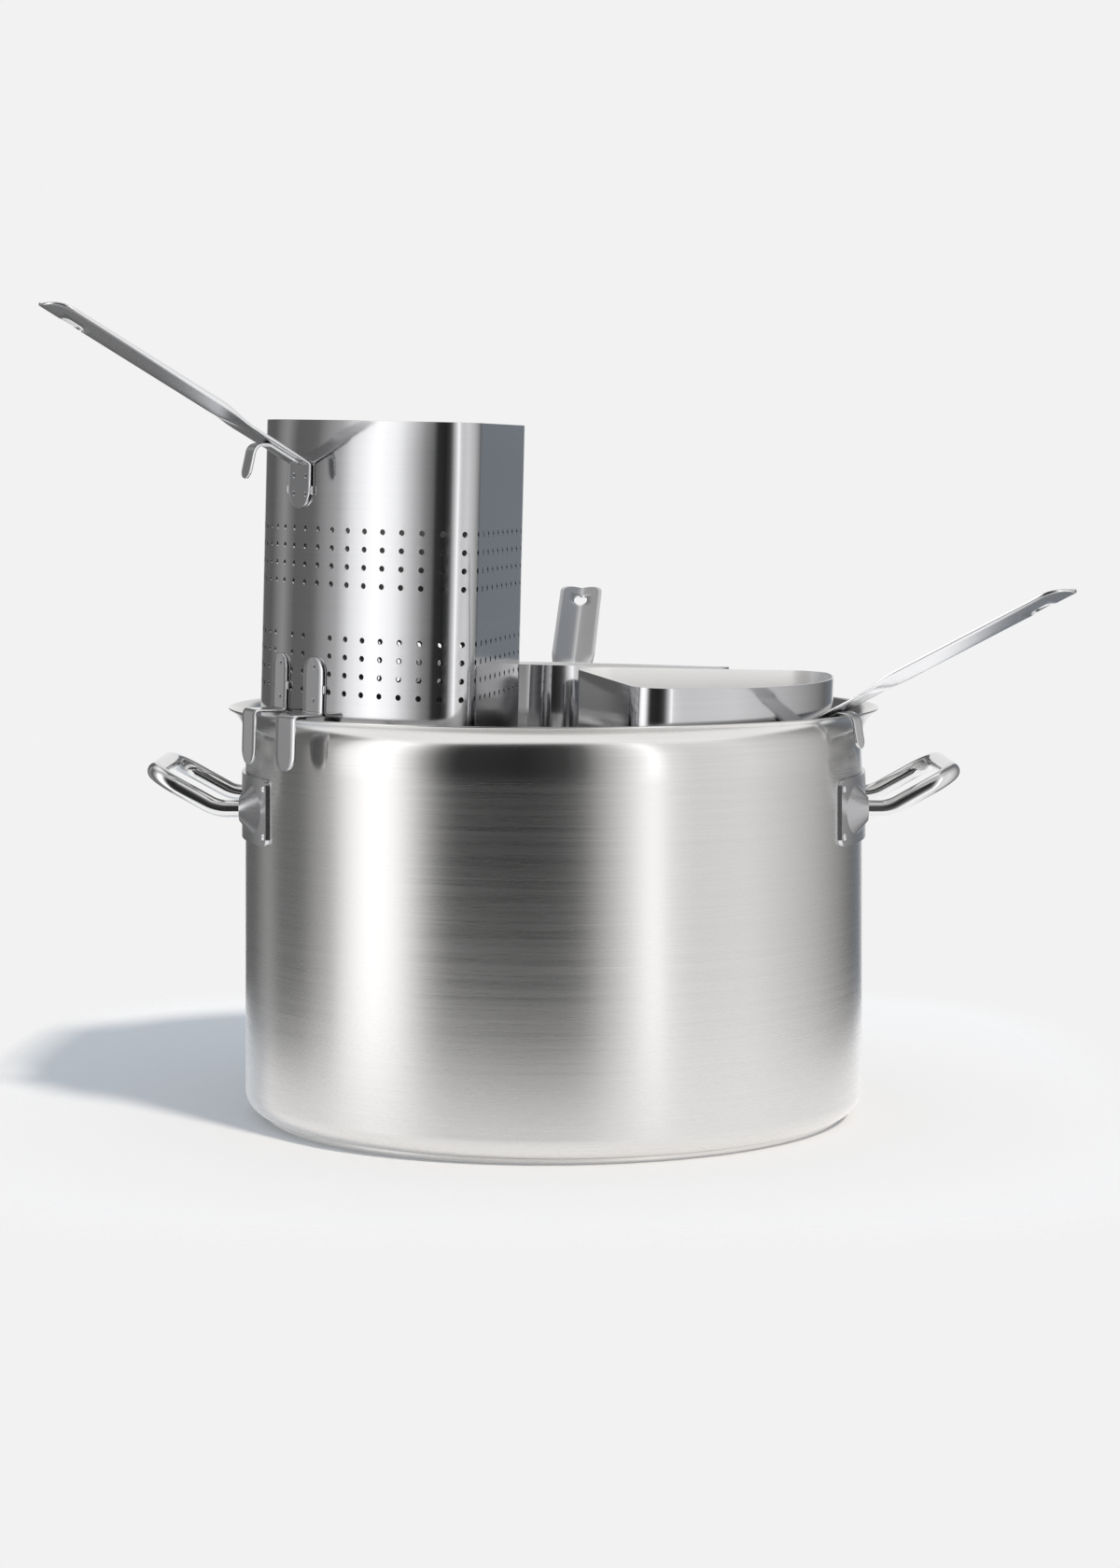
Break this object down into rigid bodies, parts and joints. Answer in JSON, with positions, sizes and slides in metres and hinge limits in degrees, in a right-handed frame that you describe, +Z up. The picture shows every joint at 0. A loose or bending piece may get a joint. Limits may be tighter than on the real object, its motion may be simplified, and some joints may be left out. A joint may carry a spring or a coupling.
{
  "type": "pasta pot with strainer inserts",
  "caption": "Wide steel pasta pot with rod side handles and long-handled quarter-round strainer baskets, set inside or hung raised on the rim.",
  "frame": {"origin": "centre of the face that the pot stands on, on the pot's axis", "axes": "+Z up along the pot's axis; -Y front, the side that the picture shows; +X right, along the line through both side handles"},
  "size_m": [0.5596, 0.5295, 0.465],
  "materials": {
    "pot_steel": "brushed",
    "base_aluminium": "satin",
    "bracket_steel": "satin",
    "rod_chrome": "polished",
    "basket_steel": "polished",
    "strap_steel": "satin"
  },
  "bodies": {
    "pot": {"pot_body": "pot_steel", "base_core": "base_aluminium", "base_cap": "pot_steel", "left_bracket": "bracket_steel", "right_bracket": "bracket_steel", "left_rivets": "bracket_steel", "right_rivets": "bracket_steel", "left_handle": "rod_chrome", "right_handle": "rod_chrome"},
    "raised_basket": {"raised_basket_wall": "basket_steel", "raised_basket_base": "basket_steel", "raised_basket_handle": "strap_steel", "raised_basket_rest": "strap_steel", "raised_basket_hook_a": "strap_steel", "raised_basket_hook_b": "strap_steel", "raised_basket_welds": "strap_steel"},
    "right_basket": {"right_basket_wall": "basket_steel", "right_basket_base": "basket_steel", "right_basket_handle": "strap_steel", "right_basket_rest": "strap_steel", "right_basket_hook_a": "strap_steel", "right_basket_hook_b": "strap_steel", "right_basket_welds": "strap_steel"},
    "back_basket": {"back_basket_wall": "basket_steel", "back_basket_base": "basket_steel", "back_basket_handle": "strap_steel", "back_basket_rest": "strap_steel", "back_basket_hook_a": "strap_steel", "back_basket_hook_b": "strap_steel", "back_basket_welds": "strap_steel"}
  },
  "joints": [
    {"name": "raised_basket_lift", "type": "slide", "parent": "pot", "child": "raised_basket", "axis": [0, 0, 1], "range_m": [0, 0.06]},
    {"name": "right_basket_lift", "type": "slide", "parent": "pot", "child": "right_basket", "axis": [0, 0, 1], "range_m": [0, 0.2]},
    {"name": "back_basket_lift", "type": "slide", "parent": "pot", "child": "back_basket", "axis": [0, 0, 1], "range_m": [0, 0.2]}
  ]
}
